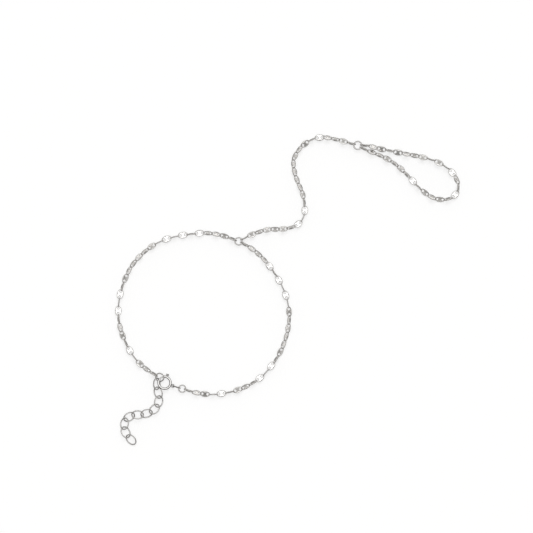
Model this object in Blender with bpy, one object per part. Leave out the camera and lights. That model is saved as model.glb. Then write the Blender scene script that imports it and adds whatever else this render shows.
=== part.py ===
# Hand chain: a fine silver bracelet chain with an extender and a spring ring clasp, joined by a strand
# across the back of the hand to a chain loop for one finger. It lies on a table, seen from above with
# X to the right and Y up. Lengths are in metres and Z points up from the table.

import math

import bmesh
import bpy
from mathutils import Matrix, Vector

MM = 0.001

# Chain link: an oval plate with a hole near each end. Each link stands a quarter turn from the last.
LINK_WIDTH = 2.10 * MM
LINK_THICKNESS = 0.32 * MM
LINK_RIM = 0.33 * MM
LINK_HOLE = 0.90 * MM
LINK_BITE = 0.06 * MM
LINK_SIDES = 10
HOLE_SIDES = 5

# Round jump rings that join the runs of chain
RING_WIRE = 0.40 * MM
RING_HEIGHT = 1.00 * MM
RING_GAP = 0.11 * MM
RING_SEGMENTS = 12
WIRE_SIDES = 6
WRIST_RING_OUTER = 2.80 * MM
FINGER_RING_OUTER = 3.04 * MM
CLASP_JUMP_RING_OUTER = 2.72 * MM
CATCH_RING_OUTER = 3.12 * MM

# Extender: oval wire links that lie rolled to one side and the other by turns. Their length follows from
# their number, the route and the play at each joint.
EXTENDER_LINK_WIDTH = 3.26 * MM
EXTENDER_WIRE = 0.40 * MM
EXTENDER_PLAY = 0.42 * MM
EXTENDER_LINKS = 10
EXTENDER_ROLL = 27
FIRST_EXTENDER_ROLL = -46
OVAL_SEGMENTS = 12

# Spring ring clasp: a hollow ring with a gap, closed by a curved pin that its thumb knob draws back
CLASP_RADIUS = 2.00 * MM
CLASP_TUBE = 0.72 * MM
CLASP_BORE = 0.46 * MM
PIN_WIRE = 0.32 * MM
CLASP_HEIGHT = 1.14 * MM
CLASP_STEP = 15
GAP_START = 95
GAP_END = 143
BORE_END = -12
PIN_TIP = 149
PIN_TAIL = 45
PIN_POCKET = 153
SLOT_WIDTH = 0.34 * MM
SLOT_START = 15
SLOT_END = 76
KNOB_ANGLE = 69
KNOB_LENGTH = 0.95 * MM
KNOB_DIAMETER = 0.62 * MM
KNOB_GAP = 0.10 * MM
KNOB_STEM = 0.24 * MM
EYE_ANGLE = -21
EYE_OUTER = 1.24 * MM
EYE_WIRE = 0.32 * MM
EYE_SEAT = 0.10 * MM
CLASP_LINK_HEIGHT = 1.70 * MM
CLASP_LINK_WIRE = 0.32 * MM

# How the clasp hangs together with the catch ring: both lean, in opposite senses, so that the ring
# passes over the clasp's tube on one side and under it on the other
CATCH_BEARING = 132.5
CATCH_SPAN = 70
CATCH_TILT = 18
CLASP_TILT = 12.5

# Places on the table, in millimetres from the middle of the view
WRIST_RING_AT = (-9.2, 8.3)
FINGER_RING_AT = (30.1, 39.9)
CLASP_AT = (-33.6, -38.3)
CLASP_JUMP_RING_AT = (-27.8, -40.3)

# Where those four places were when the routes were read. A route moves along with the places at its ends.
WRIST_RING_READ_AT = (-9.2, 8.3)
FINGER_RING_READ_AT = (30.1, 39.9)
CLASP_READ_AT = (-33.6, -38.3)
CLASP_JUMP_RING_READ_AT = (-27.8, -40.3)

# Routes of the four runs of chain, in millimetres, and the bearing at which each end hooks its ring.
# The twist table gives each run's slow turn about its own line, in degrees, by link number.
WRIST_TWIST = {
    0: 68, 1: 52, 3: 38, 4: 6, 5: -10, 6: 0, 9: 0, 10: 28, 13: 40, 15: 58, 16: 70, 17: 90,
    19: 90, 20: 70, 21: 48, 22: 24, 24: 0, 25: 0, 26: -24, 27: -46, 28: -70,
}
HAND_TWIST = {
    0: 84, 1: 68, 2: 52, 3: 58, 4: 42, 5: 62, 6: 62, 7: 84, 8: 90, 9: 84, 10: 70, 11: 52, 13: 45,
    16: 42, 17: 38, 18: 24, 19: 12, 20: 6, 21: 46, 22: 60, 24: 76,
}
FINGER_TWIST = {
    0: 75, 1: 50, 2: 28, 3: 22, 4: 24, 5: 42, 6: 48, 7: 62, 8: 84, 9: 70, 10: 88, 11: 88, 12: 50,
    13: 22, 14: 0, 15: -24, 16: -40, 17: -45, 18: -38, 19: -14, 20: 0, 21: 24, 22: 30, 24: 26,
    25: 32, 26: 40, 27: 15,
}
WRIST_LEFT = {
    "links": 29,
    "twist": WRIST_TWIST,
    "start_bearing": 158,
    "end_bearing": 150,
    "route": [
        (-14.3, 10.2), (-19.7, 11.1), (-24.9, 10.7), (-30.5, 9.8), (-35.6, 8.0), (-39.6, 5.4),
        (-43.8, 1.2), (-46.4, -3.5), (-48.2, -8.9), (-48.9, -14.3), (-48.4, -19.8), (-46.4, -25.2),
        (-43.7, -29.9), (-40.0, -33.6),
    ],
}
WRIST_RIGHT = {
    "links": 29,
    "twist": WRIST_TWIST,
    "start_bearing": -27,
    "end_bearing": -14,
    "route": [
        (-4.7, 5.8), (-0.8, 2.3), (2.5, -2.0), (5.2, -6.6), (7.0, -11.8), (7.5, -17.2), (6.6, -22.7),
        (4.6, -28.1), (1.7, -32.6), (-2.0, -36.7), (-7.0, -39.7), (-11.6, -41.3), (-17.5, -42.2),
        (-22.9, -41.7),
    ],
}
HAND_RUN = {
    "links": 25,
    "twist": HAND_TWIST,
    "start_bearing": 29,
    "end_bearing": 162,
    "route": [
        (-4.6, 10.6), (0.4, 12.2), (5.6, 12.3), (10.2, 13.6), (12.2, 16.1), (12.7, 19.1), (11.9, 24.2),
        (9.8, 29.2), (8.8, 34.2), (9.6, 36.9), (12.5, 40.4), (17.2, 42.6), (22.4, 42.0), (27.0, 40.8),
    ],
}
FINGER_RUN = {
    "links": 28,
    "twist": FINGER_TWIST,
    "start_bearing": 6,
    "end_bearing": -31,
    "route": [
        (33.2, 39.9), (36.4, 39.0), (40.8, 38.1), (46.4, 37.0), (52.0, 35.9), (56.9, 34.2), (61.5, 30.8),
        (63.5, 26.1), (62.1, 23.5), (59.6, 22.0), (54.8, 22.6), (50.2, 26.1), (46.5, 30.1),
        (42.3, 34.0), (37.6, 36.6), (33.6, 38.1),
    ],
}
EXTENDER_ROUTE = [
    (-36.5, -39.15), (-35.35, -42.4), (-35.5, -45.4), (-37.6, -47.7), (-40.3, -48.9), (-43.3, -48.7),
    (-45.9, -49.6), (-47.2, -52.2), (-46.4, -55.1), (-43.6, -58.2),
]
EXTENDER_BEARING = -144

CURVE_STEPS = 24
WELD = 0.001 * MM
UP = Vector((0, 0, 1))


def clear_scene():
    for item in list(bpy.data.objects):
        bpy.data.objects.remove(item, do_unlink=True)


def make_silver(name, shade, roughness):
    material = bpy.data.materials.new(name)
    material.use_nodes = True
    shader = material.node_tree.nodes["Principled BSDF"]
    shader.inputs["Base Color"].default_value = (shade, shade, shade * 0.99, 1)
    shader.inputs["Metallic"].default_value = 1
    shader.inputs["Roughness"].default_value = roughness
    return material


def add_object(name, mesh, parts, material, matrix=None):
    item = bpy.data.objects.new(name, mesh)
    parts["collection"].objects.link(item)
    item.parent = parts["origin"]
    item.matrix_world = matrix or Matrix()
    mesh.materials.clear()
    mesh.materials.append(material)
    mesh.shade_smooth()
    mesh.set_sharp_from_angle(angle=math.radians(40))
    return item


# Turns a curve or a modified object into a plain welded mesh and removes the object
def settle(item):
    bpy.context.view_layer.update()
    evaluated = item.evaluated_get(bpy.context.evaluated_depsgraph_get())
    mesh = bpy.data.meshes.new_from_object(evaluated)
    bpy.data.objects.remove(item, do_unlink=True)
    shape = bmesh.new()
    shape.from_mesh(mesh)
    bmesh.ops.remove_doubles(shape, verts=shape.verts, dist=WELD)
    bmesh.ops.recalc_face_normals(shape, faces=shape.faces)
    shape.to_mesh(mesh)
    shape.free()
    return mesh


def combine(first, second, operation):
    body = bpy.data.objects.new("body", first)
    tool = bpy.data.objects.new("tool", second)
    bpy.context.scene.collection.objects.link(body)
    bpy.context.scene.collection.objects.link(tool)
    boolean = body.modifiers.new("Join", "BOOLEAN")
    boolean.operation = operation
    boolean.solver = "EXACT"
    boolean.object = tool
    mesh = settle(body)
    bpy.data.objects.remove(tool, do_unlink=True)
    return mesh


def from_points(name, points, closed):
    curve = bpy.data.curves.new(name, "CURVE")
    spline = curve.splines.new("POLY")
    spline.points.add(len(points) - 1)
    for place, point in zip(spline.points, points):
        place.co = (*point, 1)
    spline.use_cyclic_u = closed
    return curve


def wire_mesh(name, points, diameter, closed, resolution=1):
    curve = from_points(name, points, closed)
    curve.dimensions = "3D"
    curve.bevel_depth = diameter / 2
    curve.bevel_resolution = resolution
    curve.use_fill_caps = not closed
    item = bpy.data.objects.new(name, curve)
    bpy.context.scene.collection.objects.link(item)
    return settle(item)


def copies(name, mesh, places):
    shape = bmesh.new()
    for place in places:
        piece = mesh.copy()
        piece.transform(place)
        shape.from_mesh(piece)
        bpy.data.meshes.remove(piece)
    joined = bpy.data.meshes.new(name)
    shape.to_mesh(joined)
    shape.free()
    return joined


def ring_mesh(name, outer, wire):
    bpy.ops.mesh.primitive_torus_add(
        major_radius=(outer - wire) / 2,
        minor_radius=wire / 2,
        major_segments=RING_SEGMENTS,
        minor_segments=WIRE_SIDES,
    )
    item = bpy.context.object
    mesh = item.data
    mesh.name = name
    bpy.data.objects.remove(item, do_unlink=True)
    return mesh


def oval_mesh(name, length, width, wire):
    turns = [math.tau * index / OVAL_SEGMENTS for index in range(OVAL_SEGMENTS)]
    half_length = (length - wire) / 2
    half_width = (width - wire) / 2
    points = [(half_length * math.cos(turn), half_width * math.sin(turn), 0) for turn in turns]
    return wire_mesh(name, points, wire, closed=True)


# The flat oval link along X. Each hole has a flat side towards the link's end.
def link_mesh(length):
    side_stretch = 1 / math.sin(math.pi / 2 - math.pi / LINK_SIDES)
    turns = [math.tau * index / LINK_SIDES for index in range(LINK_SIDES)]
    half_width = LINK_WIDTH / 2 * side_stretch
    outline = [(length / 2 * math.cos(turn), half_width * math.sin(turn), 0) for turn in turns]
    flat_reach = LINK_HOLE / 2 * math.cos(math.pi / HOLE_SIDES)
    hole_at = length / 2 - LINK_RIM - flat_reach
    corners = [math.tau * (index + 0.5) / HOLE_SIDES for index in range(HOLE_SIDES)]
    loops = [outline]
    for side in (-1, 1):
        hole = [
            (side * (hole_at + LINK_HOLE / 2 * math.cos(corner)), LINK_HOLE / 2 * math.sin(corner), 0)
            for corner in corners
        ]
        loops.append(hole)
    curve = bpy.data.curves.new("link", "CURVE")
    curve.dimensions = "2D"
    curve.fill_mode = "BOTH"
    curve.extrude = LINK_THICKNESS / 2 / MM
    for loop in loops:
        spline = curve.splines.new("POLY")
        spline.points.add(len(loop) - 1)
        for place, point in zip(spline.points, loop):
            place.co = (point[0] / MM, point[1] / MM, 0, 1)
        spline.use_cyclic_u = True
    item = bpy.data.objects.new("link", curve)
    bpy.context.scene.collection.objects.link(item)
    mesh = settle(item)
    mesh.transform(Matrix.Scale(MM, 4))
    return mesh


def on_table(place, height=0.0):
    return Vector((place[0] * MM, place[1] * MM, height))


def toward(bearing):
    turn = math.radians(bearing)
    return Vector((math.cos(turn), math.sin(turn), 0))


def moved(place, read_at):
    return on_table(place) - on_table(read_at)


# The route's points, carried along by how far the places at its two ends have moved
def carried(route, first_move, last_move):
    last = len(route) - 1
    return [on_table(point) + first_move.lerp(last_move, index / last) for index, point in enumerate(route)]


# A smooth line through the chosen points, as a fine list of places
def smooth_line(points):
    ends = [points[0] * 2 - points[1], *points, points[-1] * 2 - points[-2]]
    line = [points[0]]
    for before, here, there, after in zip(ends, ends[1:], ends[2:], ends[3:]):
        for step in range(1, CURVE_STEPS + 1):
            t = step / CURVE_STEPS
            pull = (there - before) * t
            bend = (before * 2 - here * 5 + there * 4 - after) * t * t
            swing = (here * 3 - before - there * 3 + after) * t * t * t
            line.append(here + (pull + bend + swing) / 2)
    return line


def even_places(line, count):
    lengths = [0.0]
    for here, there in zip(line, line[1:]):
        lengths.append(lengths[-1] + (there - here).length)
    places = []
    index = 0
    for number in range(count + 1):
        target = lengths[-1] * number / count
        while index < len(line) - 2 and lengths[index + 1] < target:
            index += 1
        share = (target - lengths[index]) / (lengths[index + 1] - lengths[index])
        places.append(line[index].lerp(line[index + 1], share))
    return places


def read_chart(chart, number):
    rows = sorted(chart.items())
    for (low, start), (high, end) in zip(rows, rows[1:]):
        if number <= high:
            return start + (end - start) * (number - low) / (high - low)
    return rows[-1][1]


# How high a pair of crossed links carries the run's line, with their lowest edges on the table
def line_height(twist):
    across = abs(math.sin(math.radians(twist)))
    along = abs(math.cos(math.radians(twist)))
    return LINK_WIDTH / 2 * max(across, along) + LINK_THICKNESS / 2 * min(across, along)


def facing(centre, forward, roll):
    side = UP.cross(forward).normalized()
    frame = Matrix((forward.normalized(), side, forward.cross(side).normalized())).transposed()
    return Matrix.Translation(centre) @ frame.to_4x4() @ Matrix.Rotation(math.radians(roll), 4, "X")


def chain_mesh(name, run, start, route, end):
    joints = even_places(smooth_line([start, *route, end]), run["links"])
    pitch = sum((b - a).length for a, b in zip(joints, joints[1:])) / run["links"]
    link = link_mesh(pitch - LINK_BITE + 2 * LINK_RIM)
    places = []
    for number, (here, there) in enumerate(zip(joints, joints[1:])):
        twist = read_chart(run["twist"], number)
        centre = (here + there) / 2
        centre.z = line_height(twist)
        places.append(facing(centre, there - here, twist + 90 * (number % 2)))
    flat_turn = copies(name, link, places[0::2])
    cross_turn = copies(name, link, places[1::2])
    return combine(flat_turn, cross_turn, "UNION")


# Where the rim of a chain's end link lies inside the ring that it hooks
def hooked_at(ring, bearing):
    outer, matrix = ring[1:3]
    reach = RING_WIRE / 2 + RING_GAP + LINK_BITE / 2
    return matrix @ (toward(bearing) * ((outer - RING_WIRE) / 2 - reach))


def leaning(centre, rise_bearing, tilt):
    axis = UP.cross(toward(rise_bearing))
    return Matrix.Translation(centre) @ Matrix.Rotation(-math.radians(tilt), 4, axis)


def arc_points(radius, start, end, step):
    count = max(1, math.ceil(abs(end - start) / step))
    return [toward(start + (end - start) * index / count) * radius for index in range(count + 1)]


# A bar bent round the clasp's centre, from one bearing to the other
def bent_bar(name, inner, outer, height, start, end, step):
    count = math.ceil(abs(end - start) / step)
    shape = bmesh.new()
    bmesh.ops.create_cube(shape, size=1)
    long_edges = [edge for edge in shape.edges if abs(edge.verts[0].co.x - edge.verts[1].co.x) > 0.5]
    bmesh.ops.subdivide_edges(shape, edges=long_edges, cuts=count - 1, use_grid_fill=True)
    for corner in shape.verts:
        radius = outer - (outer - inner) * (corner.co.y + 0.5)
        place = toward(start + (end - start) * (corner.co.x + 0.5)) * radius
        corner.co = (place.x, place.y, corner.co.z * height)
    mesh = bpy.data.meshes.new(name)
    shape.to_mesh(mesh)
    shape.free()
    return mesh


def clasp_ring_mesh():
    body = arc_points(CLASP_RADIUS, GAP_END, GAP_START + 360, CLASP_STEP)
    tube = wire_mesh("tube", body, CLASP_TUBE, False, 2)
    reach = CLASP_STEP / 2
    chamber = arc_points(CLASP_RADIUS, GAP_START + reach, BORE_END, CLASP_STEP)
    pocket = arc_points(CLASP_RADIUS, GAP_END - reach, PIN_POCKET, CLASP_STEP)
    for points in (chamber, pocket):
        tube = combine(tube, wire_mesh("bore", points, CLASP_BORE, False), "DIFFERENCE")
    outside = CLASP_RADIUS + CLASP_TUBE
    slot = bent_bar("slot", CLASP_RADIUS, outside, SLOT_WIDTH, SLOT_START, SLOT_END, CLASP_STEP)
    tube = combine(tube, slot, "DIFFERENCE")
    eye = ring_mesh("eye", EYE_OUTER, EYE_WIRE)
    eye.transform(Matrix.Translation(eye_place()))
    return combine(tube, eye, "UNION")


def eye_place():
    return toward(EYE_ANGLE) * (CLASP_RADIUS + CLASP_TUBE / 2 + EYE_OUTER / 2 - EYE_SEAT)


def trigger_mesh():
    pin = wire_mesh("pin", arc_points(CLASP_RADIUS, PIN_TIP, PIN_TAIL, CLASP_STEP), PIN_WIRE, False)
    knob_at = CLASP_RADIUS + CLASP_TUBE / 2 + KNOB_GAP + KNOB_DIAMETER / 2
    turn = math.degrees(KNOB_STEM / CLASP_RADIUS)
    first = KNOB_ANGLE - turn / 2
    stem = bent_bar("stem", CLASP_RADIUS, knob_at, KNOB_STEM, first, first + turn, turn)
    centre = toward(KNOB_ANGLE) * knob_at
    along = toward(KNOB_ANGLE + 90) * KNOB_LENGTH / 2
    knob = wire_mesh("knob", [centre - along, centre + along], KNOB_DIAMETER, False, 4)
    return combine(combine(pin, stem, "UNION"), knob, "UNION")


def build():
    clear_scene()
    collection = bpy.data.collections.new("hand_chain")
    bpy.context.scene.collection.children.link(collection)
    origin = bpy.data.objects.new("hand_chain_origin", None)
    collection.objects.link(origin)
    parts = {"collection": collection, "origin": origin}
    chain_silver = make_silver("chain silver", 0.86, 0.14)
    ring_silver = make_silver("ring silver", 0.84, 0.16)
    extender_silver = make_silver("extender silver", 0.85, 0.18)
    clasp_silver = make_silver("clasp silver", 0.84, 0.15)
    trigger_silver = make_silver("trigger silver", 0.80, 0.22)

    wrist_ring = Matrix.Translation(on_table(WRIST_RING_AT, RING_HEIGHT))
    finger_ring = Matrix.Translation(on_table(FINGER_RING_AT, RING_HEIGHT))
    clasp_jump_ring = Matrix.Translation(on_table(CLASP_JUMP_RING_AT, RING_HEIGHT))
    clasp_centre = on_table(CLASP_AT, CLASP_HEIGHT)
    half_span = math.radians(CATCH_SPAN / 2)
    catch_radius = (CATCH_RING_OUTER - RING_WIRE) / 2
    crossing = CLASP_RADIUS * math.sin(half_span)
    catch_offset = CLASP_RADIUS * math.cos(half_span) + math.sqrt(catch_radius**2 - crossing**2)
    catch_centre = clasp_centre + toward(CATCH_BEARING) * catch_offset
    catch_ring = leaning(catch_centre, CATCH_BEARING - 90, CATCH_TILT)
    clasp = leaning(clasp_centre, CATCH_BEARING + 90, CLASP_TILT)

    wrist_move = moved(WRIST_RING_AT, WRIST_RING_READ_AT)
    finger_move = moved(FINGER_RING_AT, FINGER_RING_READ_AT)
    jump_move = moved(CLASP_JUMP_RING_AT, CLASP_JUMP_RING_READ_AT)
    clasp_move = moved(CLASP_AT, CLASP_READ_AT)
    wrist = ("wrist_junction_ring", WRIST_RING_OUTER, wrist_ring, wrist_move)
    finger = ("finger_junction_ring", FINGER_RING_OUTER, finger_ring, finger_move)
    jump = ("clasp_jump_ring", CLASP_JUMP_RING_OUTER, clasp_jump_ring, jump_move)
    catch = ("catch_ring", CATCH_RING_OUTER, catch_ring, clasp_move)
    for name, outer, matrix, _ in (wrist, finger, jump, catch):
        add_object(name, ring_mesh(name, outer, RING_WIRE), parts, ring_silver, matrix)

    runs = (
        ("wrist_chain_left", WRIST_LEFT, wrist, catch),
        ("wrist_chain_right", WRIST_RIGHT, wrist, jump),
        ("hand_chain", HAND_RUN, wrist, finger),
        ("finger_chain", FINGER_RUN, finger, finger),
    )
    for name, run, first, last in runs:
        start = hooked_at(first, run["start_bearing"])
        end = hooked_at(last, run["end_bearing"])
        start.z = 0
        end.z = 0
        route = carried(run["route"], first[-1], last[-1])
        add_object(name, chain_mesh(name, run, start, route, end), parts, chain_silver)

    add_extender(parts, extender_silver, catch_ring, clasp_move)
    add_object("clasp_ring", clasp_ring_mesh(), parts, clasp_silver, clasp)
    add_object("clasp_trigger", trigger_mesh(), parts, trigger_silver, clasp)
    add_clasp_link(parts, ring_silver, clasp @ eye_place(), clasp_jump_ring)
    centre_on_origin(parts)


def add_extender(parts, material, catch_ring, move):
    start = catch_ring @ (toward(EXTENDER_BEARING) * (CATCH_RING_OUTER / 2 - RING_WIRE))
    start.z = 0
    line = smooth_line([start, *carried(EXTENDER_ROUTE, move, move)])
    joints = even_places(line, EXTENDER_LINKS)
    length = (joints[1] - joints[0]).length + 2 * EXTENDER_WIRE + EXTENDER_PLAY
    mesh = oval_mesh("extender_link", length, EXTENDER_LINK_WIDTH, EXTENDER_WIRE)
    for number, (here, there) in enumerate(zip(joints, joints[1:])):
        roll = FIRST_EXTENDER_ROLL if number == 0 else EXTENDER_ROLL * (1 if number % 2 else -1)
        centre = (here + there) / 2
        lean = abs(math.sin(math.radians(roll)))
        centre.z = (EXTENDER_LINK_WIDTH - EXTENDER_WIRE) / 2 * lean + EXTENDER_WIRE / 2
        name = f"extender_link_{number + 1:02d}"
        add_object(name, mesh, parts, material, facing(centre, there - here, roll))


# The small oval that stands on edge between the clasp's eye and the jump ring of the right-hand run
def add_clasp_link(parts, material, eye_centre, clasp_jump_ring):
    ring_centre = clasp_jump_ring.to_translation()
    heading = (eye_centre - ring_centre).normalized()
    inside = CLASP_JUMP_RING_OUTER / 2 - RING_WIRE - RING_GAP - CLASP_LINK_WIRE / 2
    ring_end = ring_centre + heading * inside
    length = (eye_centre - ring_end).length + CLASP_LINK_WIRE
    mesh = oval_mesh("clasp_link", length, CLASP_LINK_HEIGHT, CLASP_LINK_WIRE)
    matrix = facing((eye_centre + ring_end) / 2, ring_end - eye_centre, 90)
    add_object("clasp_link", mesh, parts, material, matrix)


def centre_on_origin(parts):
    bpy.context.view_layer.update()
    corners = []
    for item in parts["collection"].objects:
        if item.type == "MESH":
            corners += [item.matrix_world @ corner.co for corner in item.data.vertices]
    low = Vector([min(corner[axis] for corner in corners) for axis in range(3)])
    high = Vector([max(corner[axis] for corner in corners) for axis in range(3)])
    middle = (low + high) / 2
    parts["origin"].location = (-middle.x, -middle.y, -low.z)
    bpy.context.view_layer.update()


build()
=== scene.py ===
import math

import bmesh
import bpy
from mathutils import Matrix, Vector


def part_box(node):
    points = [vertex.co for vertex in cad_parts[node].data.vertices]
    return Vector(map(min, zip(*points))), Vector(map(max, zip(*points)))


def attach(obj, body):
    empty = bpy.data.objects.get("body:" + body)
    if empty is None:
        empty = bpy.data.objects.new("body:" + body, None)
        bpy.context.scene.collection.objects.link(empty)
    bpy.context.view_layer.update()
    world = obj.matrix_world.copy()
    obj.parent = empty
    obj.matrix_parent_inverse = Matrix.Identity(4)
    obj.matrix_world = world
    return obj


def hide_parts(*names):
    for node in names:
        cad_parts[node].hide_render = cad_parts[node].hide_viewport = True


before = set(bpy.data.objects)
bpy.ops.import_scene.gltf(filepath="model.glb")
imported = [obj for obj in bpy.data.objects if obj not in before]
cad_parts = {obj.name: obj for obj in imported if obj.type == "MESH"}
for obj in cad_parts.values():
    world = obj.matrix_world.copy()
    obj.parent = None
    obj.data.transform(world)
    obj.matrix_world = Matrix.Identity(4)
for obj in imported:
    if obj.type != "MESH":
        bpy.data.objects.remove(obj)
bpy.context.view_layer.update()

mm = 0.001
up = Vector((0, 0, 1))

# The silver hand chain lies on a white table and is seen from straight above.
# Places on the table are in millimetres from the middle of that view, as in the part.
wristRingPlace = (-9.2, 8.3)
fingerRingPlace = (30.1, 39.9)
claspJumpRingPlace = (-27.8, -40.3)
claspPlace = (-33.6, -38.3)

wristRingLow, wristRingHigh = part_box("wrist_junction_ring")
viewMiddle = Vector((
    (wristRingLow[0] + wristRingHigh[0]) / 2 - wristRingPlace[0] * mm,
    (wristRingLow[1] + wristRingHigh[1]) / 2 - wristRingPlace[1] * mm,
    0,
))


# Camera: straight down over the middle of the view, from far enough to look flat
def setCamera():
    view = {"height": 0.9, "width": 0.1759, "sensor": 36.0, "clipStart": 0.01}
    lens = bpy.data.cameras.new("viewCamera")
    lens.sensor_width = view["sensor"]
    lens.lens = view["sensor"] * view["height"] / view["width"]
    lens.clip_start = view["clipStart"]
    camera = bpy.data.objects.new("viewCamera", lens)
    camera.location = viewMiddle + up * view["height"]
    bpy.context.scene.collection.objects.link(camera)
    bpy.context.scene.camera = camera


setCamera()
print("camera set")


def onTable(place, height=0.0):
    return viewMiddle + Vector((place[0] * mm, place[1] * mm, height))


def toward(bearing):
    turn = math.radians(bearing)
    return Vector((math.cos(turn), math.sin(turn), 0))


# A piece's matrix: its middle at centre, and its side at riseBearing lifted by tilt degrees
def leaning(centre, riseBearing, tilt):
    axis = up.cross(toward(riseBearing))
    return Matrix.Translation(centre) @ Matrix.Rotation(-math.radians(tilt), 4, axis)


def addSocket(tree, name, inOut, kind, value=None):
    socket = tree.interface.new_socket(name=name, in_out=inOut, socket_type=kind)
    if value is not None:
        socket.default_value = value


# Polished silver: fine polishing marks and handling wear, as a roughness, a tone and a height.
# The tone also carries painted shade: the sides and rims, which each mesh marks, are painted darker, and the
# crests keep the plain tone.
def makeSilverWearAndShadeGroup():
    wearAndShade = {"marks": (2600, 3), "patches": (420, 2), "dullFrom": 0.52, "dullTo": 0.74, "dullMost": 0.5}
    group = bpy.data.node_groups.new("silverWearAndShade", "ShaderNodeTree")
    addSocket(group, "Polish", "INPUT", "NodeSocketFloat")
    addSocket(group, "Wear", "INPUT", "NodeSocketFloat", 0.06)
    addSocket(group, "Tone", "INPUT", "NodeSocketColor")
    addSocket(group, "Tarnish", "INPUT", "NodeSocketColor", (0.72, 0.7, 0.66, 1))
    addSocket(group, "Painted Side Shade Tone", "INPUT", "NodeSocketColor")
    addSocket(group, "Side Start", "INPUT", "NodeSocketFloat")
    addSocket(group, "Side Full", "INPUT", "NodeSocketFloat")
    addSocket(group, "Color", "OUTPUT", "NodeSocketColor")
    addSocket(group, "Roughness", "OUTPUT", "NodeSocketFloat")
    addSocket(group, "Height", "OUTPUT", "NodeSocketFloat")
    nodes = group.nodes
    links = group.links
    inputs = nodes.new("NodeGroupInput")
    outputs = nodes.new("NodeGroupOutput")
    place = nodes.new("ShaderNodeTexCoord")
    marks = nodes.new("ShaderNodeTexNoise")
    patches = nodes.new("ShaderNodeTexNoise")
    for noise, key in ((marks, "marks"), (patches, "patches")):
        noise.inputs["Scale"].default_value, noise.inputs["Detail"].default_value = wearAndShade[key]
        links.new(place.outputs["Object"], noise.inputs["Vector"])
    rougher = nodes.new("ShaderNodeMath")
    rougher.operation = "MULTIPLY_ADD"
    links.new(patches.outputs["Fac"], rougher.inputs[0])
    links.new(inputs.outputs["Wear"], rougher.inputs[1])
    links.new(inputs.outputs["Polish"], rougher.inputs[2])
    dull = nodes.new("ShaderNodeMapRange")
    dull.inputs["From Min"].default_value = wearAndShade["dullFrom"]
    dull.inputs["From Max"].default_value = wearAndShade["dullTo"]
    dull.inputs["To Max"].default_value = wearAndShade["dullMost"]
    links.new(patches.outputs["Fac"], dull.inputs["Value"])
    tint = nodes.new("ShaderNodeMix")
    tint.data_type = "RGBA"
    links.new(dull.outputs["Result"], tint.inputs["Factor"])
    links.new(inputs.outputs["Tone"], tint.inputs["A"])
    links.new(inputs.outputs["Tarnish"], tint.inputs["B"])
    # Painted shade: the colour is mixed towards the painted side shade tone where sideShade marks the sides
    # and rims
    sides = nodes.new("ShaderNodeAttribute")
    sides.attribute_name = "sideShade"
    shade = nodes.new("ShaderNodeMapRange")
    links.new(sides.outputs["Fac"], shade.inputs["Value"])
    links.new(inputs.outputs["Side Start"], shade.inputs["From Min"])
    links.new(inputs.outputs["Side Full"], shade.inputs["From Max"])
    blend = nodes.new("ShaderNodeMix")
    blend.data_type = "RGBA"
    links.new(shade.outputs["Result"], blend.inputs["Factor"])
    links.new(tint.outputs["Result"], blend.inputs["A"])
    links.new(inputs.outputs["Painted Side Shade Tone"], blend.inputs["B"])
    links.new(blend.outputs["Result"], outputs.inputs["Color"])
    links.new(rougher.outputs["Value"], outputs.inputs["Roughness"])
    links.new(marks.outputs["Fac"], outputs.inputs["Height"])
    return group


def makeSilver(name, wearAndShadeGroup, look):
    marks = {"strength": 0.12, "height": 0.01 * mm}
    material = bpy.data.materials.new(name)
    material.use_nodes = True
    nodes = material.node_tree.nodes
    links = material.node_tree.links
    shader = nodes["Principled BSDF"]
    shader.inputs["Metallic"].default_value = 1
    # The group's colour carries the painted side shade as well as the random wear
    wearAndShade = nodes.new("ShaderNodeGroup")
    wearAndShade.node_tree = wearAndShadeGroup
    wearAndShade.inputs["Polish"].default_value = look["polish"]
    wearAndShade.inputs["Tone"].default_value = (*look["tone"], 1)
    wearAndShade.inputs["Painted Side Shade Tone"].default_value = (*look["paintedSideShadeTone"], 1)
    wearAndShade.inputs["Side Start"].default_value = look["sideStart"]
    wearAndShade.inputs["Side Full"].default_value = look["sideFull"]
    bump = nodes.new("ShaderNodeBump")
    bump.inputs["Strength"].default_value = marks["strength"]
    bump.inputs["Distance"].default_value = marks["height"]
    links.new(wearAndShade.outputs["Color"], shader.inputs["Base Color"])
    links.new(wearAndShade.outputs["Roughness"], shader.inputs["Roughness"])
    links.new(wearAndShade.outputs["Height"], bump.inputs["Height"])
    links.new(bump.outputs["Normal"], shader.inputs["Normal"])
    return material


# Polish is a roughness. The painted side shade tone comes in between the two marks of sideShade, start and
# full, and paints shade on the sides and rims.
silverLooks = {
    "chainSilver": {
        "polish": 0.11, "tone": (0.93, 0.92, 0.9),
        "paintedSideShadeTone": (0.27, 0.254, 0.241), "sideStart": 0.15, "sideFull": 0.9,
    },
    "ringSilver": {
        "polish": 0.34, "tone": (0.78, 0.765, 0.75),
        "paintedSideShadeTone": (0.16, 0.15, 0.142), "sideStart": 0.3, "sideFull": 0.95,
    },
    "extenderSilver": {
        "polish": 0.2, "tone": (0.86, 0.85, 0.83),
        "paintedSideShadeTone": (0.15, 0.14, 0.132), "sideStart": 0.36, "sideFull": 1,
    },
    "claspSilver": {
        "polish": 0.1, "tone": (0.92, 0.91, 0.89),
        "paintedSideShadeTone": (0.07, 0.064, 0.06), "sideStart": 0.38, "sideFull": 0.7,
    },
    "triggerSilver": {
        "polish": 0.16, "tone": (0.8, 0.79, 0.77),
        "paintedSideShadeTone": (0.15, 0.14, 0.132), "sideStart": 0.4, "sideFull": 1,
    },
}
silverWearAndShade = makeSilverWearAndShadeGroup()
silvers = {name: makeSilver(name, silverWearAndShade, look) for name, look in silverLooks.items()}
print("materials made")


def newMesh(name, shape):
    bmesh.ops.recalc_face_normals(shape, faces=shape.faces)
    mesh = bpy.data.meshes.new(name)
    shape.to_mesh(mesh)
    shape.free()
    mesh.shade_smooth()
    return mesh
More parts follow.
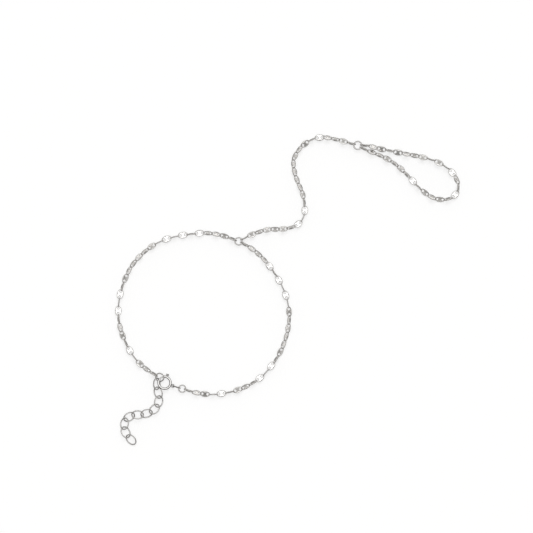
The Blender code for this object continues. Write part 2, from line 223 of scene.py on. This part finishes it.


# A round wire in a plane, along centre places, with a radius at each. Open wires are closed by a fan.
# Each corner is marked with how far it faces sideways, 0 to 1, for the painted shade on the sides.
def sweptWire(name, centres, radii, sides, closed):
    shape = bmesh.new()
    sideShade = shape.verts.layers.float.new("sideShade")
    rings = []
    count = len(centres)
    for index, centre in enumerate(centres):
        after = centres[(index + 1) % count] if closed else centres[min(index + 1, count - 1)]
        before = centres[index - 1] if closed else centres[max(index - 1, 0)]
        outward = (after - before).normalized().cross(up)
        ring = []
        for side in range(sides):
            turn = math.tau * side / sides
            reach = outward * math.cos(turn) + up * math.sin(turn)
            corner = shape.verts.new(centre + reach * radii[index])
            corner[sideShade] = abs(math.cos(turn))
            ring.append(corner)
        rings.append(ring)
    pairs = list(zip(rings, rings[1:]))
    if closed:
        pairs.append((rings[-1], rings[0]))
    for here, there in pairs:
        for side in range(sides):
            after = (side + 1) % sides
            shape.faces.new((here[side], here[after], there[after], there[side]))
    if not closed:
        for ring, centre in ((rings[0], centres[0]), (rings[-1], centres[-1])):
            middle = shape.verts.new(centre)
            for side in range(sides):
                shape.faces.new((ring[side], ring[(side + 1) % sides], middle))
    return newMesh(name, shape)


def ovalWire(name, length, width, wire, steps, sides):
    turns = [math.tau * index / steps for index in range(steps)]
    halfLength = (length - wire) / 2
    halfWidth = (width - wire) / 2
    centres = [Vector((halfLength * math.cos(t), halfWidth * math.sin(t), 0)) for t in turns]
    return sweptWire(name, centres, [wire / 2] * steps, sides, closed=True)


# A wire bent round the clasp's middle, with its ends rounded over the given length
def arcWire(name, radius, start, end, wire, sides, step, roundOff):
    length = radius * math.radians(abs(end - start))
    count = math.ceil(abs(end - start) / step)
    shares = [index / count for index in range(1, count)]
    lipTurns = (0, 30, 60, 90)
    lips = [roundOff / length * (1 - math.cos(math.radians(turn))) for turn in lipTurns]
    middle = [share for share in shares if lips[-1] < share < 1 - lips[-1]]
    shares = sorted(lips + middle + [1 - lip for lip in lips])
    radii = []
    for share in shares:
        edge = min(share, 1 - share) * length
        missing = max(0.0, 1 - edge / roundOff)
        radii.append(wire / 2 - roundOff * (1 - math.sqrt(max(0.0, 1 - missing**2))))
    centres = [toward(start + (end - start) * share) * radius for share in shares]
    return sweptWire(name, centres, radii, sides, closed=False)


def joined(name, first, second, operation):
    body = bpy.data.objects.new("body", first)
    tool = bpy.data.objects.new("tool", second)
    bpy.context.scene.collection.objects.link(body)
    bpy.context.scene.collection.objects.link(tool)
    cut = body.modifiers.new("Join", "BOOLEAN")
    cut.operation = operation
    cut.solver = "EXACT"
    cut.object = tool
    bpy.context.view_layer.update()
    evaluated = body.evaluated_get(bpy.context.evaluated_depsgraph_get())
    mesh = bpy.data.meshes.new_from_object(evaluated)
    mesh.name = name
    bpy.data.objects.remove(body, do_unlink=True)
    bpy.data.objects.remove(tool, do_unlink=True)
    return mesh


def addPiece(name, mesh, material, body, nodes):
    mesh.materials.clear()
    mesh.materials.append(material)
    piece = bpy.data.objects.new(name, mesh)
    bpy.context.scene.collection.objects.link(piece)
    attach(piece, body)
    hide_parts(*nodes)


# Jump rings: round wire. Three lie level, and the catch ring leans on the clasp.
ringWire = 0.40 * mm
ringHeight = 1.0 * mm
rings = {
    "wrist_junction_ring": {"outer": 2.80 * mm, "place": wristRingPlace},
    "finger_junction_ring": {"outer": 3.04 * mm, "place": fingerRingPlace},
    "clasp_jump_ring": {"outer": 2.72 * mm, "place": claspJumpRingPlace},
    "catch_ring": {"outer": 3.12 * mm},
}

# The clasp's angles are in degrees round its middle, and the pin reaches past both sides of the gap.
clasp = {
    "radius": 2.0 * mm,
    "height": 1.14 * mm,
    "tube": 0.72 * mm,
    "bore": 0.46 * mm,
    "pinWire": 0.32 * mm,
    "gapStart": 95,
    "gapEnd": 143,
    "boreEnd": -12,
    "pinTip": 149,
    "pinTail": 45,
    "pinPocket": 153,
    "slotWidth": 0.34 * mm,
    "slotStart": 15,
    "slotEnd": 76,
    "knobAngle": 69,
    "knobLength": 0.95 * mm,
    "knobDiameter": 0.62 * mm,
    "knobGap": 0.10 * mm,
    "knobStem": 0.24 * mm,
    "eyeAngle": -21,
    "eyeOuter": 1.24 * mm,
    "eyeWire": 0.32 * mm,
    "eyeSeat": 0.10 * mm,
    "catchBearing": 132.5,
    "catchSpan": 70,
    "catchTilt": 18,
    "tilt": 12.5,
    "boreOver": 8,
    "boreLip": 0.02 * mm,
    "endLip": 0.06 * mm,
    "sharpFrom": 50,
}


def placeCatchRing():
    halfSpan = math.radians(clasp["catchSpan"] / 2)
    radius = (rings["catch_ring"]["outer"] - ringWire) / 2
    crossing = clasp["radius"] * math.sin(halfSpan)
    offset = clasp["radius"] * math.cos(halfSpan) + math.sqrt(radius**2 - crossing**2)
    centre = onTable(claspPlace, clasp["height"]) + toward(clasp["catchBearing"]) * offset
    return leaning(centre, clasp["catchBearing"] - 90, clasp["catchTilt"])


claspMatrix = leaning(onTable(claspPlace, clasp["height"]), clasp["catchBearing"] + 90, clasp["tilt"])
for ring in rings.values():
    if "place" in ring:
        ring["matrix"] = Matrix.Translation(onTable(ring["place"], ringHeight))
    else:
        ring["matrix"] = placeCatchRing()


def addRings():
    detail = {"steps": 72, "sides": 18}
    for name, ring in rings.items():
        mesh = ovalWire(name, ring["outer"], ring["outer"], ringWire, detail["steps"], detail["sides"])
        mesh.transform(ring["matrix"])
        addPiece(name + "Wire", mesh, silvers["ringSilver"], "chain", [name])


addRings()
print("jump rings made")


# Chain: flat oval links with two holes, each a quarter turn from the last. The twist charts give each
# run's slow turn about its own line, in degrees, by link number. Each run starts and ends on a ring, at
# a bearing from the ring's middle, and its route gives the places between.
chainLink = {
    "width": 2.10 * mm,
    "thickness": 0.32 * mm,
    "rimThickness": 0.24 * mm,
    "crown": 0.09 * mm,
    "dish": 0.12 * mm,
    "rim": 0.33 * mm,
    "hole": 0.86 * mm,
    "bite": 0.06 * mm,
    "ringGap": 0.11 * mm,
}
wristTwist = {
    0: 68, 1: 52, 3: 38, 4: 6, 5: -10, 6: 0, 9: 0, 10: 28, 13: 40, 15: 58, 16: 70, 17: 90,
    19: 90, 20: 70, 21: 48, 22: 24, 24: 0, 25: 0, 26: -24, 27: -46, 28: -70,
}
handTwist = {
    0: 84, 1: 68, 2: 52, 3: 58, 4: 42, 5: 62, 6: 62, 7: 84, 8: 90, 9: 84, 10: 70, 11: 52, 13: 45,
    16: 42, 17: 38, 18: 24, 19: 12, 20: 6, 21: 46, 22: 60, 24: 76,
}
fingerTwist = {
    0: 75, 1: 50, 2: 28, 3: 22, 4: 24, 5: 42, 6: 48, 7: 62, 8: 84, 9: 70, 10: 88, 11: 88, 12: 50,
    13: 22, 14: 0, 15: -24, 16: -40, 17: -45, 18: -38, 19: -14, 20: 0, 21: 24, 22: 30, 24: 26,
    25: 32, 26: 40, 27: 15,
}
chainRuns = {
    "wrist_chain_left": {
        "links": 29,
        "twist": wristTwist,
        "start": ("wrist_junction_ring", 158),
        "end": ("catch_ring", 150),
        "route": [
            (-14.3, 10.2), (-19.7, 11.1), (-24.9, 10.7), (-30.5, 9.8), (-35.6, 8.0), (-39.6, 5.4),
            (-43.8, 1.2), (-46.4, -3.5), (-48.2, -8.9), (-48.9, -14.3), (-48.4, -19.8),
            (-46.4, -25.2), (-43.7, -29.9), (-40.0, -33.6),
        ],
    },
    "wrist_chain_right": {
        "links": 29,
        "twist": wristTwist,
        "start": ("wrist_junction_ring", -27),
        "end": ("clasp_jump_ring", -14),
        "route": [
            (-4.7, 5.8), (-0.8, 2.3), (2.5, -2.0), (5.2, -6.6), (7.0, -11.8), (7.5, -17.2),
            (6.6, -22.7), (4.6, -28.1), (1.7, -32.6), (-2.0, -36.7), (-7.0, -39.7), (-11.6, -41.3),
            (-17.5, -42.2), (-22.9, -41.7),
        ],
    },
    "hand_chain": {
        "links": 25,
        "twist": handTwist,
        "start": ("wrist_junction_ring", 29),
        "end": ("finger_junction_ring", 162),
        "route": [
            (-4.6, 10.6), (0.4, 12.2), (5.6, 12.3), (10.2, 13.6), (12.2, 16.1), (12.7, 19.1),
            (11.9, 24.2), (9.8, 29.2), (8.8, 34.2), (9.6, 36.9), (12.5, 40.4), (17.2, 42.6),
            (22.4, 42.0), (27.0, 40.8),
        ],
    },
    "finger_chain": {
        "links": 28,
        "twist": fingerTwist,
        "start": ("finger_junction_ring", 6),
        "end": ("finger_junction_ring", -31),
        "route": [
            (33.2, 39.9), (36.4, 39.0), (40.8, 38.1), (46.4, 37.0), (52.0, 35.9), (56.9, 34.2),
            (61.5, 30.8), (63.5, 26.1), (62.1, 23.5), (59.6, 22.0), (54.8, 22.6), (50.2, 26.1),
            (46.5, 30.1), (42.3, 34.0), (37.6, 36.6), (33.6, 38.1),
        ],
    },
}
extender = {
    "links": 10,
    "width": 3.26 * mm,
    "wire": 0.40 * mm,
    "play": 0.42 * mm,
    "roll": 27,
    "firstRoll": -46,
    "bearing": -144,
    "route": [
        (-36.5, -39.15), (-35.35, -42.4), (-35.5, -45.4), (-37.6, -47.7), (-40.3, -48.9),
        (-43.3, -48.7), (-45.9, -49.6), (-47.2, -52.2), (-46.4, -55.1), (-43.6, -58.2),
    ],
}
curveSteps = 24


def smoothLine(points):
    ends = [points[0] * 2 - points[1], *points, points[-1] * 2 - points[-2]]
    line = [points[0]]
    for before, here, there, after in zip(ends, ends[1:], ends[2:], ends[3:]):
        for step in range(1, curveSteps + 1):
            t = step / curveSteps
            pull = (there - before) * t
            bend = (before * 2 - here * 5 + there * 4 - after) * t * t
            swing = (here * 3 - before - there * 3 + after) * t * t * t
            line.append(here + (pull + bend + swing) / 2)
    return line


def evenPlaces(line, count):
    lengths = [0.0]
    for here, there in zip(line, line[1:]):
        lengths.append(lengths[-1] + (there - here).length)
    places = []
    index = 0
    for number in range(count + 1):
        target = lengths[-1] * number / count
        while index < len(line) - 2 and lengths[index + 1] < target:
            index += 1
        share = (target - lengths[index]) / (lengths[index + 1] - lengths[index])
        places.append(line[index].lerp(line[index + 1], share))
    return places


# A link's turn from its run's chart, straight between the chart's rows
def readChart(chart, number):
    rows = sorted(chart.items())
    for (low, start), (high, end) in zip(rows, rows[1:]):
        if number <= high:
            return start + (end - start) * (number - low) / (high - low)
    return rows[-1][1]


# The height of a run's line, so that its tallest links stand on the table
def lineHeight(twist):
    across = abs(math.sin(math.radians(twist)))
    along = abs(math.cos(math.radians(twist)))
    return chainLink["width"] / 2 * max(across, along) + chainLink["thickness"] / 2 * min(across, along)


# Where a run's end link hooks into a ring, as a place on the table
def hookedAt(ringName, bearing):
    ring = rings[ringName]
    reach = ringWire / 2 + chainLink["ringGap"] + chainLink["bite"] / 2
    place = ring["matrix"] @ (toward(bearing) * ((ring["outer"] - ringWire) / 2 - reach))
    place.z = 0
    return place


# Geometry Nodes: one link on each marked place, turned by its heading and its roll
def makeLinkTree():
    tree = bpy.data.node_groups.new("linksAlongLine", "GeometryNodeTree")
    addSocket(tree, "Geometry", "INPUT", "NodeSocketGeometry")
    addSocket(tree, "Link", "INPUT", "NodeSocketObject")
    addSocket(tree, "Silver", "INPUT", "NodeSocketMaterial")
    addSocket(tree, "Geometry", "OUTPUT", "NodeSocketGeometry")
    nodes = tree.nodes
    links = tree.links
    inputs = nodes.new("NodeGroupInput")
    outputs = nodes.new("NodeGroupOutput")
    shape = nodes.new("GeometryNodeObjectInfo")
    shape.inputs["As Instance"].default_value = True
    turn = nodes.new("GeometryNodeInputNamedAttribute")
    turn.data_type = "FLOAT_VECTOR"
    turn.inputs["Name"].default_value = "linkTurn"
    toRotation = nodes.new("FunctionNodeEulerToRotation")
    place = nodes.new("GeometryNodeInstanceOnPoints")
    real = nodes.new("GeometryNodeRealizeInstances")
    paint = nodes.new("GeometryNodeSetMaterial")
    links.new(inputs.outputs["Geometry"], place.inputs["Points"])
    links.new(inputs.outputs["Link"], shape.inputs["Object"])
    links.new(shape.outputs["Geometry"], place.inputs["Instance"])
    links.new(turn.outputs["Attribute"], toRotation.inputs["Euler"])
    links.new(toRotation.outputs["Rotation"], place.inputs["Rotation"])
    links.new(place.outputs["Instances"], real.inputs["Geometry"])
    links.new(real.outputs["Geometry"], paint.inputs["Geometry"])
    links.new(inputs.outputs["Silver"], paint.inputs["Material"])
    links.new(paint.outputs["Geometry"], outputs.inputs["Geometry"])
    return tree


linkTree = makeLinkTree()


# One mesh of many links: the link's mesh on every centre, by its heading in radians and its roll in degrees
def linksOnPlaces(name, linkMesh, rows, material):
    marks = bpy.data.meshes.new("marks")
    marks.from_pydata([row["centre"] for row in rows], [], [])
    turns = marks.attributes.new("linkTurn", "FLOAT_VECTOR", "POINT")
    for index, row in enumerate(rows):
        turns.data[index].vector = (math.radians(row["roll"]), 0, row["heading"])
    model = bpy.data.objects.new("linkModel", linkMesh)
    holder = bpy.data.objects.new("linkPlaces", marks)
    bpy.context.scene.collection.objects.link(model)
    bpy.context.scene.collection.objects.link(holder)
    modifier = holder.modifiers.new("Links", "NODES")
    modifier.node_group = linkTree
    sockets = {
        item.name: item.identifier for item in linkTree.interface.items_tree if item.in_out == "INPUT"
    }
    modifier[sockets["Link"]] = model
    modifier[sockets["Silver"]] = material
    bpy.context.view_layer.update()
    evaluated = holder.evaluated_get(bpy.context.evaluated_depsgraph_get())
    mesh = bpy.data.meshes.new_from_object(evaluated)
    mesh.name = name
    holder.modifiers.remove(modifier)
    bpy.data.objects.remove(holder, do_unlink=True)
    bpy.data.objects.remove(model, do_unlink=True)
    return mesh


# The flat oval link: each half is a fan of rows from its hole out to the rim or to the middle of the web.
# Its edges are round, its faces a little crowned, and it is dished along its length.
def chainLinkMesh(length):
    detail = {
        "rows": (0, 0.05, 0.14, 0.3, 0.5, 0.7, 0.86, 0.95, 1),
        "rimTurns": 18,
        "webTurns": 10,
        "mergeWithin": 0.002 * mm,
        "rimSlope": 0.95,
    }
    # Painted shade for the sideShade mark: the crest, its width, the shoulder's width and the hole's rim
    shade = {"crest": 0.3, "crestWidth": 0.35, "shoulderWidth": 1.6, "holeRim": 0.28}
    halfLength = length / 2
    halfWidth = chainLink["width"] / 2
    holeRadius = chainLink["hole"] / 2
    holeAt = halfLength - chainLink["rim"] - holeRadius
    edge = chainLink["rimThickness"] / 2
    shape = bmesh.new()
    sideShade = shape.verts.layers.float.new("sideShade")

    def rimReach(direction):
        # Where a ray from the hole's middle meets the oval outline
        a = (direction.x / halfLength) ** 2 + (direction.y / halfWidth) ** 2
        b = 2 * holeAt * direction.x / halfLength**2
        c = (holeAt / halfLength) ** 2 - 1
        reach = (-b + math.sqrt(b * b - 4 * a * c)) / (2 * a)
        if direction.x < 0:
            return min(reach, holeAt / -direction.x)
        return reach

    def ovalShare(place):
        return math.sqrt((place.x / halfLength) ** 2 + (place.y / halfWidth) ** 2)

    def rimDistance(place):
        return max(0.0, (1 - ovalShare(place)) * halfWidth * detail["rimSlope"])

    # Painted shade: dark on the shoulders by the outer rim, lighter on the crest of the edge and by the
    # holes, and 0 on the faces
    def rimShade(place, fromHole):
        fromRim = rimDistance(place)
        rise = min(1.0, fromRim / (edge * shade["crestWidth"]))
        crest = shade["crest"] + (1 - shade["crest"]) * rise
        outer = crest * (1 - fromRim / (edge * shade["shoulderWidth"]))
        return max(0.0, outer, (1 - fromHole / edge) * shade["holeRim"])

    def faceHeight(place, fromHole):
        oval = ovalShare(place)
        depth = min(max(0.0, min(fromHole, rimDistance(place))), edge)
        lift = edge * math.sqrt(max(0.0, 1 - (1 - depth / edge) ** 2))
        return lift + chainLink["crown"] * max(0.0, 1 - oval**2) * depth / edge

    webStart = math.degrees(math.atan2(halfWidth, -holeAt))
    rimTurns = range(detail["rimTurns"])
    webTurns = range(detail["webTurns"])
    bearings = [index * webStart / len(rimTurns) for index in rimTurns]
    bearings += [webStart + (360 - 2 * webStart) * index / len(webTurns) for index in webTurns]
    bearings += [360 - webStart + index * webStart / len(rimTurns) for index in rimTurns]
    for side in (1, -1):
        for level in (1, -1):
            rows = []
            for bearing in bearings:
                direction = toward(bearing)
                reach = rimReach(direction)
                row = []
                for share in detail["rows"]:
                    out = holeRadius + (reach - holeRadius) * share
                    place = Vector((holeAt, 0, 0)) + direction * out
                    height = level * faceHeight(place, out - holeRadius)
                    height -= chainLink["dish"] * (place.x / halfLength) ** 2
                    corner = shape.verts.new((side * place.x, place.y, height))
                    corner[sideShade] = rimShade(place, out - holeRadius)
                    row.append(corner)
                rows.append(row)
            for here, there in zip(rows, rows[1:] + rows[:1]):
                for index in range(len(detail["rows"]) - 1):
                    shape.faces.new((here[index], here[index + 1], there[index + 1], there[index]))
    bmesh.ops.remove_doubles(shape, verts=shape.verts, dist=detail["mergeWithin"])
    return newMesh("chainLink", shape)


def addChains():
    for name, run in chainRuns.items():
        start = hookedAt(*run["start"])
        end = hookedAt(*run["end"])
        points = [start, *[onTable(point) for point in run["route"]], end]
        joints = evenPlaces(smoothLine(points), run["links"])
        pitch = sum((b - a).length for a, b in zip(joints, joints[1:])) / run["links"]
        linkMesh = chainLinkMesh(pitch - chainLink["bite"] + 2 * chainLink["rim"])
        rows = []
        for number, (here, there) in enumerate(zip(joints, joints[1:])):
            twist = readChart(run["twist"], number)
            along = there - here
            centre = (here + there) / 2
            centre.z = lineHeight(twist)
            rows.append({
                "centre": centre,
                "roll": twist + 90 * (number % 2),
                "heading": math.atan2(along.y, along.x),
            })
        mesh = linksOnPlaces(name, linkMesh, rows, silvers["chainSilver"])
        addPiece(name + "Links", mesh, silvers["chainSilver"], "chain", [name])
        print(name, "triangles", sum(len(face.vertices) - 2 for face in mesh.polygons))


addChains()
print("chains made")


def addExtender():
    detail = {"steps": 64, "sides": 18}
    ring = rings["catch_ring"]
    start = ring["matrix"] @ (toward(extender["bearing"]) * (ring["outer"] / 2 - ringWire))
    start.z = 0
    points = [start, *[onTable(point) for point in extender["route"]]]
    joints = evenPlaces(smoothLine(points), extender["links"])
    length = (joints[1] - joints[0]).length + 2 * extender["wire"] + extender["play"]
    linkMesh = ovalWire(
        "extenderLink", length, extender["width"], extender["wire"], detail["steps"], detail["sides"]
    )
    rows = []
    for number, (here, there) in enumerate(zip(joints, joints[1:])):
        roll = extender["roll"] * (1 if number % 2 else -1)
        if number == 0:
            roll = extender["firstRoll"]
        along = there - here
        centre = (here + there) / 2
        lean = abs(math.sin(math.radians(roll)))
        centre.z = (extender["width"] - extender["wire"]) / 2 * lean + extender["wire"] / 2
        rows.append({"centre": centre, "roll": roll, "heading": math.atan2(along.y, along.x)})
    mesh = linksOnPlaces("extender", linkMesh, rows, silvers["extenderSilver"])
    nodes = [f"extender_link_{number + 1:02d}" for number in range(extender["links"])]
    addPiece("extenderLinks", mesh, silvers["extenderSilver"], "chain", nodes)


addExtender()
print("extender made")


# Spring ring clasp: hollow ring, slot, eye, and the pin with its thumb knob.
# The bar has flat sides and is bent round the clasp's middle. It cuts the slot and makes the knob's stem.
def slotBar(inner, outer, height, start, end, steps):
    shape = bmesh.new()
    rows = []
    for index in range(steps + 1):
        direction = toward(start + (end - start) * index / steps)
        row = []
        for radius, level in ((inner, -0.5), (outer, -0.5), (outer, 0.5), (inner, 0.5)):
            row.append(shape.verts.new(direction * radius + up * level * height))
        rows.append(row)
    for here, there in zip(rows, rows[1:]):
        for side in range(4):
            after = (side + 1) % 4
            shape.faces.new((here[side], there[side], there[after], here[after]))
    shape.faces.new(rows[0])
    shape.faces.new(reversed(rows[-1]))
    return newMesh("bar", shape)


def eyePlace():
    reach = clasp["radius"] + clasp["tube"] / 2 + clasp["eyeOuter"] / 2 - clasp["eyeSeat"]
    return toward(clasp["eyeAngle"]) * reach


def addClaspRing():
    detail = {"tubeSides": 24, "boreSides": 18, "step": 4, "slotSteps": 16, "eyeSteps": 40, "eyeSides": 16}
    radius = clasp["radius"]
    gapStart = clasp["gapStart"]
    gapEnd = clasp["gapEnd"]
    tube = arcWire(
        "tube", radius, gapEnd, gapStart + 360,
        clasp["tube"], detail["tubeSides"], detail["step"], clasp["endLip"],
    )
    hollows = []
    for start, end in (
        (gapStart + clasp["boreOver"], clasp["boreEnd"]),
        (gapEnd - clasp["boreOver"], clasp["pinPocket"]),
    ):
        hollows.append(arcWire(
            "bore", radius, start, end,
            clasp["bore"], detail["boreSides"], detail["step"], clasp["boreLip"],
        ))
    hollows.append(slotBar(
        radius, radius + clasp["tube"], clasp["slotWidth"],
        clasp["slotStart"], clasp["slotEnd"], detail["slotSteps"],
    ))
    eye = ovalWire(
        "eye", clasp["eyeOuter"], clasp["eyeOuter"], clasp["eyeWire"], detail["eyeSteps"], detail["eyeSides"]
    )
    eye.transform(Matrix.Translation(eyePlace()))
    for hollow in hollows:
        tube = joined("claspRing", tube, hollow, "DIFFERENCE")
    mesh = joined("claspRing", tube, eye, "UNION")
    mesh.set_sharp_from_angle(angle=math.radians(clasp["sharpFrom"]))
    mesh.transform(claspMatrix)
    addPiece("claspRing", mesh, silvers["claspSilver"], "chain", ["clasp_ring"])


def addTrigger():
    detail = {
        "pinSides": 18, "pinStep": 3, "stemSteps": 2,
        "knobSides": 24, "lip": 0.08 * mm, "lipShare": 0.3,
    }
    radius = clasp["radius"]
    pin = arcWire(
        "pin", radius, clasp["pinTip"], clasp["pinTail"],
        clasp["pinWire"], detail["pinSides"], detail["pinStep"], clasp["endLip"],
    )
    knobAt = radius + clasp["tube"] / 2 + clasp["knobGap"] + clasp["knobDiameter"] / 2
    turn = math.degrees(clasp["knobStem"] / radius)
    first = clasp["knobAngle"] - turn / 2
    stem = slotBar(radius, knobAt, clasp["knobStem"], first, first + turn, detail["stemSteps"])
    middle = toward(clasp["knobAngle"]) * knobAt
    along = toward(clasp["knobAngle"] + 90)
    half = clasp["knobLength"] / 2
    lip = detail["lip"]
    shoulder = lip * detail["lipShare"]
    reaches = [-half, -half + shoulder, -half + lip, 0, half - lip, half - shoulder, half]
    edges = [clasp["knobDiameter"] / 2 - cut for cut in (lip, shoulder, 0, 0, 0, shoulder, lip)]
    centres = [middle + along * reach for reach in reaches]
    knob = sweptWire("knob", centres, edges, detail["knobSides"], closed=False)
    mesh = joined("claspTrigger", joined("claspTrigger", pin, stem, "UNION"), knob, "UNION")
    mesh.set_sharp_from_angle(angle=math.radians(clasp["sharpFrom"]))
    mesh.transform(claspMatrix)
    addPiece(
        "claspTrigger", mesh, silvers["triggerSilver"], "trigger", ["clasp_trigger"]
    )


def addClaspLink():
    size = {"height": 1.70 * mm, "wire": 0.32 * mm, "steps": 56, "sides": 16}
    eyeCentre = claspMatrix @ eyePlace()
    ringCentre = rings["clasp_jump_ring"]["matrix"].to_translation()
    heading = (eyeCentre - ringCentre).normalized()
    inside = rings["clasp_jump_ring"]["outer"] / 2 - ringWire - chainLink["ringGap"] - size["wire"] / 2
    ringEnd = ringCentre + heading * inside
    length = (eyeCentre - ringEnd).length + size["wire"]
    mesh = ovalWire("claspLink", length, size["height"], size["wire"], size["steps"], size["sides"])
    forward = (ringEnd - eyeCentre).normalized()
    side = up.cross(forward).normalized()
    turned = Matrix((forward, side, forward.cross(side))).transposed().to_4x4()
    onEdge = Matrix.Rotation(math.radians(90), 4, "X")
    mesh.transform(Matrix.Translation((eyeCentre + ringEnd) / 2) @ turned @ onEdge)
    addPiece("claspLink", mesh, silvers["ringSilver"], "chain", ["clasp_link"])


addClaspRing()
addTrigger()
addClaspLink()
print("clasp made")


# White table and soft light: white straight overhead, grey round that, and lighter again at the sides
def addTable():
    table = {
        "reach": 1.6,
        "drop": 0.00002,
        "tone": 0.45,
        "roughness": 0.9,
        "glow": 0.62,
        "nearStart": 1.0 * mm,
        "nearEnd": 6.0 * mm,
        "nearGlow": 0.22,
        "farGlow": 0.72,
        "mirroredTone": (1, 0.98, 0.96, 1),
    }
    size = table["reach"]
    mesh = bpy.data.meshes.new("table")
    corners = [(-size, -size), (size, -size), (size, size), (-size, size)]
    mesh.from_pydata([(x, y, -table["drop"]) for x, y in corners], [], [(0, 1, 2, 3)])
    material = bpy.data.materials.new("whiteTable")
    material.use_nodes = True
    nodes = material.node_tree.nodes
    links = material.node_tree.links
    shader = nodes["Principled BSDF"]
    shader.inputs["Base Color"].default_value = (table["tone"], table["tone"], table["tone"], 1)
    shader.inputs["Roughness"].default_value = table["roughness"]
    shader.inputs["Specular IOR Level"].default_value = 0
    shader.inputs["Emission Color"].default_value = (1, 1, 1, 1)
    shader.inputs["Emission Strength"].default_value = table["glow"]
    # In the silver's reflections the table is dark close by, where the silver shades it, and grey further off
    ray = nodes.new("ShaderNodeLightPath")
    near = nodes.new("ShaderNodeMapRange")
    near.inputs["From Min"].default_value = table["nearStart"]
    near.inputs["From Max"].default_value = table["nearEnd"]
    near.inputs["To Min"].default_value = table["nearGlow"]
    near.inputs["To Max"].default_value = table["farGlow"]
    dim = nodes.new("ShaderNodeEmission")
    dim.inputs["Color"].default_value = table["mirroredTone"]
    choice = nodes.new("ShaderNodeMixShader")
    links.new(ray.outputs["Ray Length"], near.inputs["Value"])
    links.new(near.outputs["Result"], dim.inputs["Strength"])
    links.new(ray.outputs["Is Glossy Ray"], choice.inputs["Fac"])
    links.new(shader.outputs["BSDF"], choice.inputs[1])
    links.new(dim.outputs["Emission"], choice.inputs[2])
    links.new(choice.outputs["Shader"], nodes["Material Output"].inputs["Surface"])
    mesh.materials.append(material)
    floor = bpy.data.objects.new("table", mesh)
    bpy.context.scene.collection.objects.link(floor)


def setSky():
    sky = {"strength": 1.5, "farSide": 0.6}
    world = bpy.data.worlds.new("softLight")
    world.use_nodes = True
    bpy.context.scene.world = world
    nodes = world.node_tree.nodes
    links = world.node_tree.links
    place = nodes.new("ShaderNodeTexCoord")
    parts = nodes.new("ShaderNodeSeparateXYZ")
    ramp = nodes.new("ShaderNodeValToRGB")
    background = nodes["Background"]
    # The far side, towards +Y, is the brighter one
    side = nodes.new("ShaderNodeMath")
    side.operation = "MULTIPLY_ADD"
    side.inputs[1].default_value = sky["farSide"]
    side.inputs[2].default_value = sky["strength"]
    links.new(place.outputs["Generated"], parts.inputs["Vector"])
    links.new(parts.outputs["Z"], ramp.inputs["Fac"])
    links.new(ramp.outputs["Color"], background.inputs["Color"])
    links.new(parts.outputs["Y"], side.inputs[0])
    links.new(side.outputs["Value"], background.inputs["Strength"])
    stops = [
        {"at": 0.0, "tone": (0.56, 0.552, 0.545)},
        {"at": 0.35, "tone": (0.4, 0.394, 0.388)},
        {"at": 0.6, "tone": (0.235, 0.232, 0.228)},
        {"at": 0.82, "tone": (0.235, 0.232, 0.228)},
        {"at": 0.88, "tone": (0.6, 0.596, 0.592)},
        {"at": 0.93, "tone": (1, 1, 1)},
    ]
    bands = ramp.color_ramp.elements
    while len(bands) < len(stops):
        bands.new(0.5)
    for band, stop in zip(bands, stops):
        band.position = stop["at"]
        band.color = (*stop["tone"], 1)


# A broad lamp beyond the far side, for the faint shadows. The silver shows the sky alone.
def addLamp():
    lamp = {"strength": 0.7, "spread": 28, "lean": 38, "aside": 8}
    light = bpy.data.lights.new("lamp", "SUN")
    light.energy = lamp["strength"]
    light.angle = math.radians(lamp["spread"])
    item = bpy.data.objects.new("lamp", light)
    item.rotation_euler = (math.radians(-lamp["lean"]), math.radians(lamp["aside"]), 0)
    item.visible_glossy = False
    bpy.context.scene.collection.objects.link(item)


addTable()
setSky()
addLamp()
bpy.context.scene.view_settings.view_transform = "Standard"
print("table and light made")
